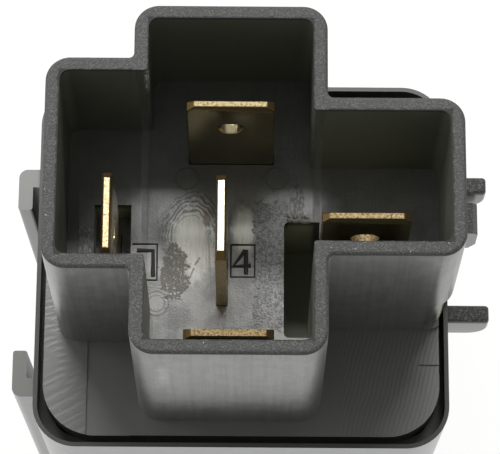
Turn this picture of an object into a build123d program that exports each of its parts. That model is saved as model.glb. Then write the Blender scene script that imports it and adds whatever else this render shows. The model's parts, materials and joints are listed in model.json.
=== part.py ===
from build123d import *
import math
import os

# Automotive changeover relay, standing on the closed end of its case with the blades pointing up.
# Millimetres. Origin: centre of the case's closed end. +X to the right arm, +Y to the back, +Z to the tips.

# Case
case_x, case_y, case_z = 31.4, 29.0, 28.0
case_corner = 3.3
case_draft = 1.5            # degrees, narrowing towards the closed end
case_wall = 1.3
case_end_wall = 1.2
case_end_round = 1.0
lip_wall = 0.33             # thin rim round the mouth, down to the ledge that carries the plate

# Hook rails on the left, which form the channel for a bracket
rail_gap = 0.55             # between the case and the flange
rail_flange = 1.1
rail_arm = 1.45
rail_lip_back, rail_lip_front = 1.85, 2.15
rail_channel = 15.3
rail_y = -1.45              # middle of the channel
rail_top_drop = 0.5         # below the case's rim
rail_bottom_z = 3.0
rail_round = 0.7
rail_edge_round = 0.22
rail_root = 0.66            # into the case's wall

# Fins and locking lug on the right
fin_reach = 3.15
fin_thick = 1.4
fin_height = 3.1
fin_round = 1.6
fin_edge_round = 0.25
fin_root = 0.3              # into the case's wall, the lug too
fin_corner = 0.3
fin_pitch = 10.35
fin_y = 1.25                # middle between the fins
lug_reach, lug_width, lug_height = 2.5, 2.5, 3.6
lug_chamfer = 0.35
lug_y = 3.95
lug_drop = 0.6              # below the case's rim
lug_slope, lug_undercut = 1.0, 0.5

# Base: plate with the plug shroud
plate_gap_x, plate_gap_y = 0.37, 0.62   # groove between the plate and the case's lip
plate_corner = 4.0
plate_recess = 0.3          # plate's top below the case's rim
plate_thick = 2.0
shroud_height = 18.6        # above the case's rim
shroud_wall = 1.0
shroud_tip_round = 1.75     # outer corners of the arms
shroud_neck_round = 0.4     # corners between the arms
shroud_edge_round = 0.3     # outer edge of the shroud's rim
column_x = -0.85            # middle of the front-to-back column
column_w = 13.8
column_front = 12.4         # from the case's middle
column_depth = 25.87
left_reach = 6.25
left_front, left_width = 6.15, 15.7
right_reach = 9.7
right_front, right_width = 7.2, 11.72
floor_depth = 12.4          # from the shroud's rim down to its floor
floor_thick = 1.4
under_wall = 1.2            # walls of the hollow under the floor
rim_gap = 0.05              # between the right arm and the case's rim

# Cored pocket at the mouth of the right arm, and the slot round the left blade
pocket_x, pocket_y = 2.65, 8.95
pocket_left = 3.97          # from the column's middle
pocket_front = 4.7          # from the column's front
pocket_depth = 7.6
pocket_wall = 0.8
pocket_round = 0.4
slot_x, slot_y = 2.75, 9.0
slot_shift = -0.15          # from the left blade's middle
slot_depth = 3.0
cut_over = 1.0              # how far a cut runs on past the face it opens
near = 0.01                 # for picking a corner by its place

# Relief at the right arm's outer corners, where the fins rise
notch_x, notch_clear = 2.0, 0.35
notch_inset = 0.45          # of the wall inside the relief
notch_under = 0.15          # below the shroud's floor

# Marks on the mouldings
pin_mark, pin_mark_depth, pin_mark_spread, pin_mark_y = 1.9, 0.08, 3.26, 16.95
step_depth = 0.12
step_left, step_width, step_right, step_back = 3.93, 3.3, 14.3, 4.5

# Blade terminals
blade_w, blade_t = 6.3, 0.8
tip_drop = 0.8              # tips below the shroud's rim
tip_corner = 0.55
tip_bevel, tip_bevel_length = 0.16, 0.7
detent_d, detent_drop = 2.0, 4.9
blade_slot_clearance = 0.04
back_blade_y = 18.6         # all from the column's middle and front
front_blade_y = 1.73
centre_blade_x, centre_blade_y = -0.6, 10.26
left_blade_x, left_blade_y = -8.65, 10.42
right_blade_x, right_blade_y = 9.64, 10.3
shoulder_drop = 1.0         # shoulders below the shroud's floor
left_leg0, left_leg1 = -2.4, 0.4    # from the coil's axis
tab_over, tab_under, tab_above = 1.0, 1.1, 0.9   # round the resistor's lead
right_leg0, right_leg1 = -0.6, 1.8  # from the right blade's middle
leg_below_lead = 0.7
foot_t = 0.8
foot_bend = 0.64            # outer radius of the folded feet
back_foot = 4.0
common_rivet_out = 2.1      # from the back blade's face
front_leg0, front_leg1 = -2.0, 1.5  # from the contacts' middle, as are the next ones
front_foot_over = 1.7
run_clear, run_height = 1.2, 2.4    # the centre terminal's run over the yoke
post0, post1 = 0.1, 2.6
nc_foot_right, nc_foot_front = 1.8, 1.6

# Magnet
yoke_t, yoke_w = 1.6, 14.0
yoke_inner_y = 9.0
yoke_front_y = -4.5
yoke_bend = 1.8
coil_y = 1.6                # coil's axis
core_d, stud_d = 6.4, 4.6
pole_d, pole_t = 9.4, 1.2
flange_x, flange_y, flange_t = 13.2, 14.2, 1.0
flange_corner = 1.2
bobbin_wall = 0.8
bobbin_clearance = 0.05
coil_d = 12.4
coil_round = 0.5

# Contacts and armature. Heights are stacked up from the case's closed end.
nc_foot_clear = 0.5         # above the case's end wall
fixed_head_d, fixed_head_t, fixed_shank_d = 3.2, 0.7, 1.6
moving_head_d, moving_head_t, moving_shank_d = 3.0, 0.8, 1.6
leaf_t = 0.3
armature_t = 1.5
open_angle = 3.2            # degrees between the open and the closed armature
contact_gap = 0.03          # left between contacts that touch
pole_gap = 0.04             # left between the armature and the pole
contact_x, contact_y = 2.6, -9.7
armature_w, armature_front, armature_nose, armature_taper = 10.0, -6.2, 7.0, 2.4
leaf_w, tongue_w, tongue_over, tongue_round = 8.0, 4.4, 2.0, 1.3
leaf_shoulder, leaf_slant = 1.5, 0.6
leg_gap = 0.15              # between the spring's upright leg and the yoke
leg_over_pip, leg_round = 2.7, 1.0
rivet_d, rivet_head_d, rivet_head_t = 1.4, 2.4, 0.5
rivet_spread, rivet_y = 2.6, 6.4
pip_rise, pip_hole, pip_d, pip_head_d, pip_head_t, pip_stand = 5.2, 2.6, 1.4, 3.4, 0.4, 1.0
head_round = 0.25
shank_short, shank_over = 0.1, 0.3

# Wires and suppression resistor
wire_d = 0.5
wire_bend = 0.8
wire_gap = 0.02             # between the winding and its leads
lead_drop = 0.6             # below the bobbin's upper flange
left_lead_y = -0.9          # from the coil's axis
resistor_d, resistor_l, resistor_x, resistor_y = 2.5, 6.5, -0.6, 3.7
resistor_clear = 1.0        # above the yoke
resistor_round = 0.5
lead_d = 0.6

# Heights and places worked out from the sizes above
rim_z = case_z + shroud_height
floor_z = rim_z - floor_depth
plate_top = case_z - plate_recess
plate_bottom = plate_top - plate_thick
tip_z = rim_z - tip_drop
front_y = -column_front
yoke_top = plate_bottom
yoke_under = yoke_top - yoke_t
yoke_back_y = yoke_inner_y + yoke_t
drop = (yoke_back_y - contact_y + moving_head_d / 2) * math.sin(math.radians(open_angle))
nc_foot_z = case_end_wall + nc_foot_clear
nc_face_z = nc_foot_z + foot_t + fixed_head_t
open_contact_z = nc_face_z + contact_gap
closed_contact_z = open_contact_z + drop
leaf_z = closed_contact_z + moving_head_t
armature_z = leaf_z + leaf_t
pole_z = armature_z + armature_t + pole_gap
no_face_z = closed_contact_z + 2 * moving_head_t + leaf_t + contact_gap
no_foot_z = no_face_z + fixed_head_t
under_top = floor_z - floor_thick
coil_lead_z = yoke_under - flange_t - lead_drop
leg_bottom = coil_lead_z - leg_below_lead
pip_z = pole_z + pip_rise
leg_top = pip_z + leg_over_pip
resistor_z = yoke_top + resistor_clear + resistor_d / 2


def from_column(x, y):
    """A place given from the column's middle and front, in the part's own frame."""
    return column_x + x, front_y + y


def block(x0, x1, y0, y1, z0, z1):
    """A box between two corners."""
    return Pos(x0, y0, z0) * Box(x1 - x0, y1 - y0, z1 - z0, align=(Align.MIN, Align.MIN, Align.MIN))


def rod(x, y, z, diameter, height):
    """An upright cylinder standing on z."""
    return Pos(x, y, z) * Cylinder(diameter / 2, height, align=(Align.CENTER, Align.CENTER, Align.MIN))


def cross(inset, tip_round, neck_round, right_cut=0.0):
    """The shroud's cross-shaped outline, moved inwards by inset, with round corners."""
    x0, x1 = column_x - column_w / 2 + inset, column_x + column_w / 2 - inset
    left, right = x0 - left_reach, x1 + right_reach - right_cut
    y0, y1 = front_y + inset, front_y + column_depth - inset
    left_y0, left_y1 = front_y + left_front + inset, front_y + left_front + left_width - inset
    right_y0, right_y1 = front_y + right_front + inset, front_y + right_front + right_width - inset
    corners = [(x0, y0), (x1, y0), (x1, right_y0), (right, right_y0), (right, right_y1), (x1, right_y1),
               (x1, y1), (x0, y1), (x0, left_y1), (left, left_y1), (left, left_y0), (x0, left_y0)]
    necks = [(x1, right_y0), (x1, right_y1), (x0, left_y1), (x0, left_y0)]
    face = make_face(Polyline(*corners, close=True))

    def is_neck(vertex):
        return any(math.hypot(vertex.X - x, vertex.Y - y) < near for x, y in necks)

    face = fillet([v for v in face.vertices() if not is_neck(v)], tip_round)
    return fillet([v for v in face.vertices() if is_neck(v)], neck_round)


def cross_prism(inset, z0, z1, tip_round, neck_round, right_cut=0.0):
    return Pos(0, 0, z0) * extrude(cross(inset, tip_round, neck_round, right_cut), z1 - z0)


def plate_outline():
    return RectangleRounded(case_x - 2 * (lip_wall + plate_gap_x), case_y - 2 * (lip_wall + plate_gap_y), plate_corner)


# Case

def case_slab(inset, z_top, z_bottom):
    """A drafted block, as wide as the case less inset at the rim, from z_top down to z_bottom."""
    narrowing = (case_z - z_top) * math.tan(math.radians(case_draft))
    inset = inset + narrowing
    outline = RectangleRounded(case_x - 2 * inset, case_y - 2 * inset, case_corner - min(inset, case_corner / 2))
    return Pos(0, 0, z_top) * extrude(outline, -(z_top - z_bottom), taper=case_draft)


def hook_rail(side):
    """One L-shaped rail: an arm out of the case's left wall and a flange turned towards the channel."""
    wall_x = -case_x / 2
    inner_x = wall_x - rail_gap
    outer_x = inner_x - rail_flange
    arm_y = rail_channel / 2
    lip_y = arm_y - (rail_lip_back if side > 0 else rail_lip_front)
    outline = Polyline(
        (wall_x + rail_root, arm_y), (inner_x, arm_y), (inner_x, lip_y), (outer_x, lip_y),
        (outer_x, arm_y + rail_arm), (wall_x + rail_root, arm_y + rail_arm), close=True)
    face = make_face(outline)
    corner = [v for v in face.vertices() if v.X < outer_x + near and v.Y > arm_y + near]
    face = fillet(corner, rail_round)
    tips = [v for v in face.vertices() if v.Y < lip_y + near]
    face = fillet(tips, rail_edge_round)
    lean = math.radians(case_draft)
    top_z = case_z - rail_top_drop
    length = (top_z - rail_bottom_z) / math.cos(lean)
    rail = extrude(face, length, dir=(math.sin(lean), 0, -math.cos(lean)))
    if side < 0:
        rail = mirror(rail, Plane.XZ)
    return Pos(0, rail_y, top_z) * rail


def side_fin(y):
    """A flat fin out of the right wall, level with the rim, with its lower outer corner rounded."""
    wall_x = case_x / 2
    outline = Polyline((wall_x - fin_root, case_z), (wall_x + fin_reach, case_z),
                       (wall_x + fin_reach, case_z - fin_height),
                       (wall_x - fin_root, case_z - fin_height), close=True)
    face = make_face(outline)
    lower = [v for v in face.vertices() if v.X > wall_x + fin_reach - near and v.Y < case_z - near]
    face = fillet(lower, fin_round)
    upper = [v for v in face.vertices() if v.X > wall_x + fin_reach - near and v.Y > case_z - near]
    face = fillet(upper, fin_edge_round)
    fin = extrude(Plane.XZ * face, fin_thick / 2, both=True)
    ends = [e for e in fin.edges().filter_by(Axis.Z) if e.center().X > wall_x + fin_reach - near]
    return Pos(0, y, 0) * fillet(ends, fin_corner)


def locking_lug():
    """A low block between the fins with a sloped underside, which a connector's latch snaps over."""
    wall_x = case_x / 2
    top = case_z - lug_drop
    outline = Polyline((wall_x - fin_root, top), (wall_x + lug_reach, top),
                       (wall_x + lug_reach, top - lug_height + lug_slope),
                       (wall_x + lug_reach - lug_undercut, top - lug_height),
                       (wall_x - fin_root, top - lug_height), close=True)
    lug = extrude(Plane.XZ * make_face(outline), lug_width / 2, both=True)
    outer_top = [e for e in lug.edges().filter_by(Axis.Y)
                 if e.center().X > wall_x + lug_reach - near and e.center().Z > top - near]
    return Pos(0, lug_y, 0) * chamfer(outer_top, lug_chamfer)


def make_case():
    body = case_slab(0, case_z, 0)
    body = fillet(body.faces().sort_by(Axis.Z)[0].edges(), case_end_round)
    body += hook_rail(1) + hook_rail(-1)
    body += side_fin(fin_y - fin_pitch / 2) + side_fin(fin_y + fin_pitch / 2) + locking_lug()
    body -= case_slab(case_wall, plate_bottom, case_end_wall)
    mouth = RectangleRounded(case_x - 2 * lip_wall, case_y - 2 * lip_wall, case_corner - lip_wall)
    body -= Pos(0, 0, plate_bottom) * extrude(mouth, case_z - plate_bottom)
    return body


# Base

def pocket_box(grow, z0, z1):
    """The cored pocket's outline, grown by its wall."""
    x, y = from_column(pocket_left, pocket_front)
    return block(x - grow, x + pocket_x + grow, y - grow, y + pocket_y + grow, z0, z1)


def slot_box(grow, z0, z1):
    """The slot round the left blade, grown by its wall."""
    x, y = from_column(left_blade_x + slot_shift, left_blade_y)
    return block(x - slot_x / 2 - grow, x + slot_x / 2 + grow,
                 y - slot_y / 2 - grow, y + slot_y / 2 + grow, z0, z1)


def blade_places():
    """Each blade's middle and whether its width runs along Y."""
    return {
        "terminal_left": (*from_column(left_blade_x, left_blade_y), True),
        "terminal_right": (*from_column(right_blade_x, right_blade_y), False),
        "terminal_back": (*from_column(0, back_blade_y), False),
        "terminal_centre": (*from_column(centre_blade_x, centre_blade_y), True),
        "terminal_front": (*from_column(0, front_blade_y), False),
    }


def blade_section(place, grow, z0, z1):
    x, y, turned = place
    half_w, half_t = blade_w / 2 + grow, blade_t / 2 + grow
    if turned:
        return block(x - half_t, x + half_t, y - half_w, y + half_w, z0, z1)
    return block(x - half_w, x + half_w, y - half_t, y + half_t, z0, z1)


def make_base():
    plate = Pos(0, 0, plate_bottom) * extrude(plate_outline(), plate_thick)
    foot = extrude(plate_outline(), case_z + rim_gap - plate_bottom)
    foot = (Pos(0, 0, plate_bottom) * foot) & cross_prism(
        0, plate_bottom, case_z + rim_gap, shroud_tip_round, shroud_neck_round)
    shroud = cross_prism(0, case_z + rim_gap, rim_z, shroud_tip_round, shroud_neck_round)
    shroud = fillet(shroud.faces().sort_by(Axis.Z)[-1].outer_wire().edges(), shroud_edge_round)
    base = plate + foot + shroud
    inner_tip = shroud_tip_round - shroud_wall
    base -= cross_prism(shroud_wall, floor_z, rim_z, inner_tip, shroud_neck_round * 0.6)
    hollow = cross_prism(under_wall, plate_bottom, under_top, inner_tip, shroud_neck_round, notch_x)
    hollow -= pocket_box(pocket_wall, floor_z - pocket_depth - pocket_wall, floor_z)
    hollow -= slot_box(pocket_wall, floor_z - slot_depth - pocket_wall, floor_z)
    base -= hollow
    pocket = pocket_box(0, floor_z - pocket_depth, floor_z + cut_over)
    pocket -= outside_walls(floor_z)
    pocket = fillet(pocket.edges().filter_by(Axis.Z).sort_by(Axis.X)[:2], pocket_round)
    base -= pocket
    base -= slot_box(0, floor_z - slot_depth, floor_z + cut_over) - outside_walls(floor_z)
    for place in blade_places().values():
        base -= blade_section(place, blade_slot_clearance, plate_bottom - cut_over, rim_z)
    base -= fin_notches()
    base -= surface_marks()
    return base


def outside_walls(z):
    """The shroud's own walls just above the floor, which the pocket doesn't cut into."""
    whole = cross_prism(0, z - pocket_depth, z + cut_over, shroud_tip_round, shroud_neck_round)
    return whole - cross_prism(shroud_wall, z - pocket_depth, z + cut_over, shroud_tip_round - shroud_wall,
                               shroud_neck_round * 0.6)


def fin_notches():
    """Reliefs in the right arm's outer corners that clear the case's fins."""
    right = column_x + column_w / 2 + right_reach
    past_front = front_y + right_front - cut_over
    past_back = front_y + right_front + right_width + cut_over
    half = fin_thick / 2 + notch_clear
    low, high = case_z + rim_gap, floor_z - notch_under
    front_cut = block(right - notch_x, right + cut_over, past_front, fin_y - fin_pitch / 2 + half, low, high)
    back_cut = block(right - notch_x, right + cut_over, fin_y + fin_pitch / 2 - half, past_back, low, high)
    return front_cut + back_cut - cross_prism(
        notch_inset, low, high, shroud_tip_round - notch_inset, shroud_neck_round)


def surface_marks():
    """Ejector-pin marks in the shroud's floor and the shallow steps on the plate."""
    marks = None
    for sign in (-1, 1):
        x, y = from_column(sign * pin_mark_spread, pin_mark_y)
        mark = rod(x, y, floor_z - pin_mark_depth, pin_mark, pin_mark_depth + cut_over)
        marks = mark if marks is None else marks + mark
    edge = case_y / 2
    low, high = plate_top - step_depth, plate_top + plate_recess
    x0, _ = from_column(-column_w / 2 - step_left, 0)
    marks += block(x0, x0 + step_width, -edge, front_y + left_front, low, high)
    x1, _ = from_column(step_right, 0)
    marks += block(x1, case_x / 2, -edge, front_y + step_back, low, high)
    return marks


# Terminals

def blade_outline(half_w, z0):
    """A blade's flat outline above z0 as points, with cut corners at the tip: across, up."""
    return [(half_w, z0), (half_w, tip_z - tip_corner), (half_w - tip_corner, tip_z),
            (-half_w + tip_corner, tip_z), (-half_w, tip_z - tip_corner), (-half_w, z0)]


def tip_wedges():
    """The two slivers that bevel the tip's faces, across its thickness."""
    wedges = None
    for sign in (-1, 1):
        points = [(sign * blade_t / 2, tip_z - tip_bevel_length), (sign * blade_t / 2, tip_z + cut_over),
                  (sign * (blade_t / 2 - tip_bevel), tip_z + cut_over), (sign * (blade_t / 2 - tip_bevel), tip_z)]
        face = make_face(Polyline(*points, close=True))
        wedge = extrude(Plane.YZ * face, blade_w, both=True)
        wedges = wedge if wedges is None else wedges + wedge
    return wedges


def flat_terminal(lower_points):
    """A terminal stamped from flat strip in the XZ plane: blade above the floor, then its inner leg."""
    points = blade_outline(blade_w / 2, floor_z) + lower_points
    body = extrude(Plane.XZ * make_face(Polyline(*points, close=True)), blade_t / 2, both=True)
    body -= tip_wedges()
    hole = Pos(0, 0, tip_z - detent_drop) * Rot(90, 0, 0) * Cylinder(detent_d / 2, 2 * blade_t)
    return body - hole


def place_terminal(name, body):
    x, y, turned = blade_places()[name]
    return Pos(x, y, 0) * (Rot(0, 0, 90) * body if turned else body)


def make_terminal_left():
    """Coil terminal with a tab that the resistor's lead reaches."""
    half = blade_w / 2
    _, y, _ = blade_places()["terminal_left"]
    shoulder = under_top - slot_depth
    leg0, leg1 = coil_y + left_leg0 - y, coil_y + left_leg1 - y
    tab, tab_low, tab_high = resistor_y + tab_over - y, resistor_z - tab_under, resistor_z + tab_above
    points = [(-half, shoulder), (leg0, shoulder), (leg0, leg_bottom), (leg1, leg_bottom),
              (leg1, tab_low), (tab, tab_low), (tab, tab_high), (half, tab_high)]
    return place_terminal("terminal_left", flat_terminal(points))


def make_terminal_right():
    """Coil terminal with a straight leg."""
    half = blade_w / 2
    x, _, _ = blade_places()["terminal_right"]
    shoulder = under_top - shoulder_drop
    leg0, leg1 = right_leg_x()[0] - x, right_leg_x()[1] - x
    points = [(-half, shoulder), (leg0, shoulder), (leg0, leg_bottom), (leg1, leg_bottom),
              (leg1, shoulder), (half, shoulder)]
    return place_terminal("terminal_right", flat_terminal(points))


def right_leg_x():
    x, _ = from_column(right_blade_x, 0)
    return x + right_leg0, x + right_leg1


def folded_foot(half_w0, half_w1, length, z_under, sign):
    """A foot folded out of the strip, with a round outer bend: its thickness stands on z_under."""
    t = blade_t / 2
    points = [(-sign * t, z_under + foot_t * 3), (-sign * t, z_under), (sign * (length + t), z_under),
              (sign * (length + t), z_under + foot_t), (sign * t, z_under + foot_t),
              (sign * t, z_under + foot_t * 3)]
    face = make_face(Polyline(*points, close=True))
    bend = [v for v in face.vertices() if abs(v.X + sign * t) < near and abs(v.Y - z_under) < near]
    face = fillet(bend, foot_bend)
    return Pos(half_w0, 0, 0) * extrude(Plane.YZ * face, half_w1 - half_w0)


def make_terminal_back():
    """Common terminal: its foot lies on the yoke and is riveted to it."""
    half = blade_w / 2
    bend_z = yoke_top + foot_t * 2
    body = flat_terminal([(-half, bend_z), (half, bend_z)])
    body += folded_foot(-half, half, back_foot, yoke_top, 1)
    x, y, _ = blade_places()["terminal_back"]
    body = place_terminal("terminal_back", body)
    return body - rod(x, common_rivet_y(), yoke_top - cut_over, rivet_hole(), foot_t + 2 * cut_over)


def common_rivet_y():
    return front_y + back_blade_y + blade_t / 2 + common_rivet_out


def rivet_hole():
    return rivet_d + 2 * bobbin_clearance


def make_terminal_front():
    """Normally open terminal: its leg ends in a foot above the moving contact."""
    half = blade_w / 2
    x, y, _ = blade_places()["terminal_front"]
    leg0, leg1 = contact_x + front_leg0 - x, contact_x + front_leg1 - x
    shoulder = under_top - shoulder_drop
    bend_z = no_foot_z + foot_t * 2
    body = flat_terminal([(-half, shoulder), (leg0, shoulder), (leg0, bend_z), (leg1, bend_z), (leg1, shoulder),
                          (half, shoulder)])
    body += folded_foot(leg0, leg1, contact_y + front_foot_over - y, no_foot_z, 1)
    body = place_terminal("terminal_front", body)
    return body - rod(contact_x, contact_y, no_foot_z - cut_over, fixed_hole(), foot_t + 2 * cut_over)


def fixed_hole():
    return fixed_shank_d + 2 * bobbin_clearance


def make_terminal_centre():
    """Normally closed terminal: a strip that runs forward, down past the armature and under its contact."""
    half = blade_w / 2
    x, y, _ = blade_places()["terminal_centre"]
    run_z0, run_z1 = yoke_top + run_clear, yoke_top + run_clear + run_height
    strip0, strip1 = contact_y + post0 - y, contact_y + post1 - y
    bend_z = nc_foot_z + foot_t * 2
    body = flat_terminal([(-half, run_z1), (strip0, run_z1), (strip0, bend_z), (strip1, bend_z), (strip1, run_z0),
                          (half, run_z0)])
    body = place_terminal("terminal_centre", body)
    t = blade_t / 2
    reach = contact_x + nc_foot_right
    y0, y1 = contact_y - nc_foot_front, y + strip1
    post = block(x - t, x + t, y + strip0, y1, nc_foot_z, bend_z)
    foot = block(x - t, reach, y0, y1, nc_foot_z, nc_foot_z + foot_t)
    body += post + foot
    return body - rod(contact_x, contact_y, nc_foot_z - cut_over, fixed_hole(), foot_t + 2 * cut_over)


# Magnet

def make_yoke():
    """Steel bracket bent to an L: short leg under the plate, long leg down behind the coil."""
    points = [(yoke_front_y, yoke_under), (yoke_front_y, yoke_top), (yoke_back_y, yoke_top),
              (yoke_back_y, pole_z), (yoke_inner_y, pole_z), (yoke_inner_y, yoke_under)]
    face = make_face(Polyline(*points, close=True))
    outer = [v for v in face.vertices() if v.X > yoke_back_y - near and v.Y > yoke_top - near]
    face = fillet(outer, yoke_bend)
    yoke = Pos(column_x, 0, 0) * extrude(Plane.YZ * face, yoke_w / 2, both=True)
    yoke -= rod(column_x, coil_y, yoke_under - cut_over, stud_d + 2 * bobbin_clearance,
                yoke_t + 2 * cut_over)
    yoke -= rod(column_x, common_rivet_y(), yoke_under - cut_over, rivet_hole(), yoke_t + 2 * cut_over)
    for sign in (-1, 1):
        yoke -= Pos(column_x + sign * rivet_spread, yoke_back_y, pip_z) * Rot(90, 0, 0) * Cylinder(
            pip_d / 2 + bobbin_clearance, 3 * yoke_t)
    return yoke


def make_core():
    """Soft-iron core: pole head, shank through the bobbin and a stud riveted into the yoke."""
    core = rod(column_x, coil_y, pole_z, pole_d, pole_t)
    core += rod(column_x, coil_y, pole_z, core_d, yoke_under - pole_z)
    core += rod(column_x, coil_y, pole_z, stud_d, yoke_top - pole_z)
    return core


def make_bobbin():
    """Moulded bobbin: a tube with a square flange at each end."""
    low = pole_z + pole_t
    flange = extrude(RectangleRounded(flange_x, flange_y, flange_corner), flange_t)
    bobbin = rod(column_x, coil_y, low, core_d + 2 * (bobbin_wall + bobbin_clearance), yoke_under - low)
    for z in (low, yoke_under - flange_t):
        bobbin += Pos(column_x, coil_y, z) * flange
    return bobbin - rod(column_x, coil_y, low - cut_over, core_d + 2 * bobbin_clearance,
                        yoke_under - low + 2 * cut_over)


def coil_span():
    return pole_z + pole_t + flange_t, yoke_under - flange_t


def make_coil_winding():
    low, high = coil_span()
    tube_d = core_d + 2 * (bobbin_wall + bobbin_clearance)
    winding = rod(column_x, coil_y, low, coil_d, high - low)
    winding = fillet(winding.edges().filter_by(GeomType.CIRCLE), coil_round)
    return winding - rod(column_x, coil_y, low - cut_over, tube_d + 2 * bobbin_clearance,
                         high - low + 2 * cut_over)


def make_common_rivet():
    y = common_rivet_y()
    shank = rod(column_x, y, yoke_under + shank_short, rivet_d, yoke_t + foot_t - shank_short)
    head = rod(column_x, y, yoke_top + foot_t, rivet_head_d, rivet_head_t)
    return shank + fillet(head.edges().filter_by(GeomType.CIRCLE).sort_by(Axis.Z)[-1], head_round)


def make_spring_rivets():
    """Two pips on the yoke's back that hold the contact spring's upright leg."""
    pips = []
    for sign in (-1, 1):
        start = yoke_inner_y + shank_short
        length = yoke_back_y + leg_gap + leaf_t + pip_stand - start
        shank = Cylinder(pip_d / 2, length, align=(Align.CENTER, Align.CENTER, Align.MIN))
        head = Pos(0, 0, length) * Cylinder(pip_head_d / 2, pip_head_t, align=(Align.CENTER, Align.CENTER, Align.MIN))
        pips.append(Pos(column_x + sign * rivet_spread, start, pip_z) * Rot(-90, 0, 0) * (shank + head))
    return pips


# Armature group, modelled closed and then let down by the open angle about the yoke's back edge

def opened(shape):
    hinge = Pos(0, yoke_back_y, pole_z)
    return hinge * Rot(open_angle, 0, 0) * hinge.inverse() * shape


def armature_holes(diameter, z0, height):
    holes = None
    for sign in (-1, 1):
        hole = rod(column_x + sign * rivet_spread, rivet_y, z0, diameter, height)
        holes = hole if holes is None else holes + hole
    return holes


def make_armature():
    x0, x1 = column_x - armature_w / 2, column_x + armature_w / 2
    nose0, nose1 = column_x - armature_nose / 2, column_x + armature_nose / 2
    taper_y = armature_front + armature_taper
    points = [(x0, taper_y), (nose0, armature_front), (nose1, armature_front), (x1, taper_y),
              (x1, yoke_back_y), (x0, yoke_back_y)]
    plate = Pos(0, 0, armature_z) * extrude(make_face(Polyline(*points, close=True)), armature_t)
    return opened(plate - armature_holes(rivet_hole(), armature_z - cut_over, armature_t + 2 * cut_over))


def make_contact_spring():
    """Bent leaf: flat under the armature, a tongue to the contact, and an upright leg behind the yoke."""
    x0, x1 = column_x - leaf_w / 2, column_x + leaf_w / 2
    tongue0, tongue1 = contact_x - tongue_w / 2, contact_x + tongue_w / 2
    back = yoke_back_y + leg_gap + leaf_t
    tip = contact_y - tongue_over
    shoulder = armature_front + leaf_shoulder
    points = [(x0, shoulder), (tongue0, armature_front - leaf_slant), (tongue0, tip), (tongue1, tip),
              (tongue1, armature_front), (x1, shoulder), (x1, back), (x0, back)]
    face = make_face(Polyline(*points, close=True))
    face = fillet([v for v in face.vertices() if v.Y < tip + near], tongue_round)
    leaf = Pos(0, 0, leaf_z) * extrude(face, leaf_t)
    leaf -= armature_holes(rivet_hole(), leaf_z - cut_over, leaf_t + 2 * cut_over)
    leaf -= rod(contact_x, contact_y, leaf_z - cut_over, moving_shank_d + 2 * bobbin_clearance,
                leaf_t + 2 * cut_over)
    leaf = opened(leaf)
    leg = block(x0, x1, back - leaf_t, back, leaf_z, leg_top)
    leg = fillet(leg.edges().filter_by(Axis.Y).sort_by(Axis.Z)[-2:], leg_round)
    for sign in (-1, 1):
        leg -= Pos(column_x + sign * rivet_spread, back, pip_z) * Rot(90, 0, 0) * Cylinder(pip_hole / 2, 2 * cut_over)
    return leaf + leg


def make_armature_rivets():
    rivets = []
    for sign in (-1, 1):
        x = column_x + sign * rivet_spread
        shank = rod(x, rivet_y, leaf_z, rivet_d, leaf_t + armature_t - shank_short)
        head = rod(x, rivet_y, leaf_z - rivet_head_t, rivet_head_d, rivet_head_t)
        head = fillet(head.edges().filter_by(GeomType.CIRCLE).sort_by(Axis.Z)[0], head_round)
        rivets.append(opened(shank + head))
    return rivets


def make_moving_contact():
    contact = rod(contact_x, contact_y, leaf_z - moving_head_t, moving_shank_d, 2 * moving_head_t + leaf_t)
    for z, end in ((leaf_z - moving_head_t, 0), (leaf_z + leaf_t, -1)):
        head = rod(contact_x, contact_y, z, moving_head_d, moving_head_t)
        contact += fillet(head.edges().filter_by(GeomType.CIRCLE).sort_by(Axis.Z)[end], head_round)
    return opened(contact)


# Fixed contacts

def fixed_contact(face_z, sign):
    """A contact rivet: its head's face at face_z, looking up for +1 or down for -1, its shank in the foot."""
    head = Cylinder(fixed_head_d / 2, fixed_head_t, align=(Align.CENTER, Align.CENTER, Align.MIN))
    head = fillet(head.edges().filter_by(GeomType.CIRCLE).sort_by(Axis.Z)[0], head_round)
    length = fixed_head_t + foot_t + shank_over
    shank = Cylinder(fixed_shank_d / 2, length, align=(Align.CENTER, Align.CENTER, Align.MIN))
    contact = head + shank
    if sign > 0:
        contact = Rot(180, 0, 0) * contact
    return Pos(contact_x, contact_y, face_z) * contact


# Wires and resistor

def wire(diameter, *points):
    """A round wire along straight runs joined by arcs."""
    if len(points) > 2:
        path = FilletPolyline(*points, radius=wire_bend)
    else:
        path = Line(*points)
    start = Plane(origin=path @ 0, z_dir=path % 0)
    return sweep(start * Circle(diameter / 2), path=path)


def make_coil_lead_left():
    x, _, _ = blade_places()["terminal_left"]
    y = coil_y + left_lead_y
    bulge = math.sqrt((coil_d / 2) ** 2 - (abs(left_lead_y) - wire_d / 2) ** 2)
    rim = column_x - bulge - wire_gap
    return wire(wire_d, (rim, y, coil_lead_z), (x + blade_t / 2, y, coil_lead_z))


def make_coil_lead_right():
    _, y, _ = blade_places()["terminal_right"]
    x = sum(right_leg_x()) / 2
    rim = column_x + coil_d / 2 + wire_gap
    return wire(wire_d, (rim, coil_y, coil_lead_z), (x, coil_y, coil_lead_z), (x, y + blade_t / 2, coil_lead_z))


def make_resistor_body():
    barrel = Rot(0, 90, 0) * Cylinder(resistor_d / 2, resistor_l)
    barrel = fillet(barrel.edges().filter_by(GeomType.CIRCLE), resistor_round)
    return Pos(column_x + resistor_x, resistor_y, resistor_z) * barrel


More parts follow.
